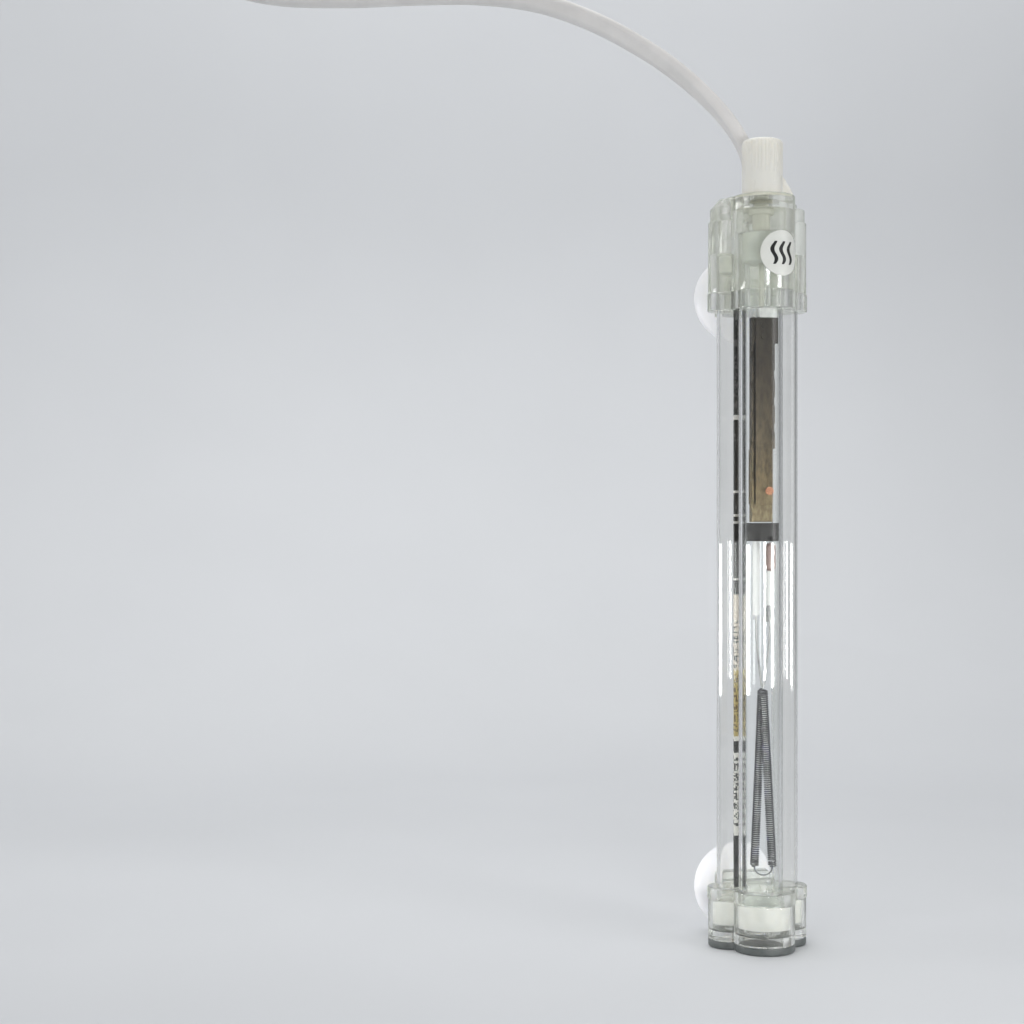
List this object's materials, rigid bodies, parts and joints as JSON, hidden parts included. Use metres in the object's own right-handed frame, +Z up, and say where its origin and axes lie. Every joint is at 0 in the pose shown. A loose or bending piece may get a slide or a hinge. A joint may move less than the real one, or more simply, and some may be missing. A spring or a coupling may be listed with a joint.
{
  "type": "submersible aquarium heater",
  "caption": "Clear submersible aquarium heater with lobed end caps, glass tubes over a thermostat and heating coil, an adjusting knob, a flat cord with plug and suction-cup feet.",
  "frame": {"origin": "axis of the main glass tube at the underside of the foot plate", "axes": "+Z up along the tubes to the knob, -Y to the front, +Y to the wall that the suction cups hold, +X to the right seen from the front"},
  "size_m": [0.2603, 0.0407, 0.3067],
  "materials": {
    "clear_plastic": "clear moulded plastic with a grey-green tint, gloss",
    "foot_rubber": "dark grey, satin",
    "quartz_glass": "clear, polished",
    "silicone": "translucent white silicone, satin",
    "knob_plastic": "translucent warm white, satin",
    "spindle_plastic": "plain",
    "o_ring_rubber": "black",
    "scale_print": "pink printed scale",
    "ceramic": "fired white ceramic",
    "thermostat_steel": "dark brown oxidised strip",
    "copper": "copper",
    "bimetal": "brown bimetal",
    "silver_contact": "silver contact",
    "magnet": "grey",
    "black_insulation": "black fibre",
    "sleeve_white": "white woven glass-fibre sleeve",
    "fuse_body": "pinkish sealed body",
    "tinned_metal": "tinned",
    "resistance_wire": "dark grey oxidised wire",
    "film_print": "black printed film",
    "sticker": "white gloss label",
    "cord_pvc": "off-white PVC, satin",
    "pin_metal": "nickel plated",
    "cup_pvc": "translucent white soft PVC"
  },
  "bodies": {
    "housing": {"top_cap": "clear_plastic", "upper_cup_clip": "clear_plastic", "bottom_cap": "clear_plastic", "lower_cup_clip": "clear_plastic", "foot_plate": "foot_rubber", "main_tube": "quartz_glass", "left_side_tube": "quartz_glass", "right_side_tube": "quartz_glass", "tube_seat": "silicone", "main_tube_plug": "silicone", "side_tube_plugs": "silicone", "spindle_o_ring": "o_ring_rubber", "scale_ring": "scale_print", "ceramic_block": "ceramic", "thermostat_frame": "thermostat_steel", "frame_rivets": "copper", "fixed_contact": "silver_contact", "snap_magnet": "magnet", "contact_leaf": "thermostat_steel", "insulating_plug": "black_insulation", "left_lead_sleeve": "sleeve_white", "thermal_fuse": "fuse_body", "right_lead_sleeve": "sleeve_white", "lead_crimp": "tinned_metal", "heater_leads": "tinned_metal", "heating_coil": "resistance_wire", "coil_cores": "ceramic", "label_film": "film_print", "rating_sticker": "sticker", "cable_gland": "silicone", "power_cord": "cord_pvc", "supply_leads": "cord_pvc", "plug_body": "cord_pvc", "plug_pins": "pin_metal"},
    "knob": {"temperature_knob": "knob_plastic", "knob_spindle": "spindle_plastic"},
    "adjuster": {"adjuster_pin": "spindle_plastic"},
    "bimetal": {"bimetal_strip": "bimetal", "moving_contact": "copper"},
    "upper_cup": {"suction_cup_upper": "cup_pvc"},
    "lower_cup": {"suction_cup_lower": "cup_pvc"}
  },
  "joints": [
    {"name": "knob_turn", "type": "hinge", "parent": "housing", "child": "knob", "pos_m": [0, 0, 0.2258], "axis": [0, 0, 1], "range_deg": [-230, 50]},
    {"name": "adjuster_travel", "type": "slide", "parent": "housing", "child": "adjuster", "axis": [0, 0, 1], "range_m": [-0.00048, 0.00012]},
    {"name": "bimetal_flex", "type": "hinge", "parent": "housing", "child": "bimetal", "pos_m": [0, -0.00165, 0.185], "axis": [1, 0, 0], "range_deg": [-1.2, 0.4]},
    {"name": "upper_cup_swivel", "type": "hinge", "parent": "housing", "child": "upper_cup", "pos_m": [0, 0.0195, 0.198], "axis": [0, 1, 0], "continuous": true},
    {"name": "lower_cup_swivel", "type": "hinge", "parent": "housing", "child": "lower_cup", "pos_m": [0, 0.0195, 0.0135], "axis": [0, 1, 0], "continuous": true}
  ],
  "couplings": [
    {"joint": "adjuster_travel", "follows": "knob_turn", "m_per_rad": 0.0001114}
  ]
}
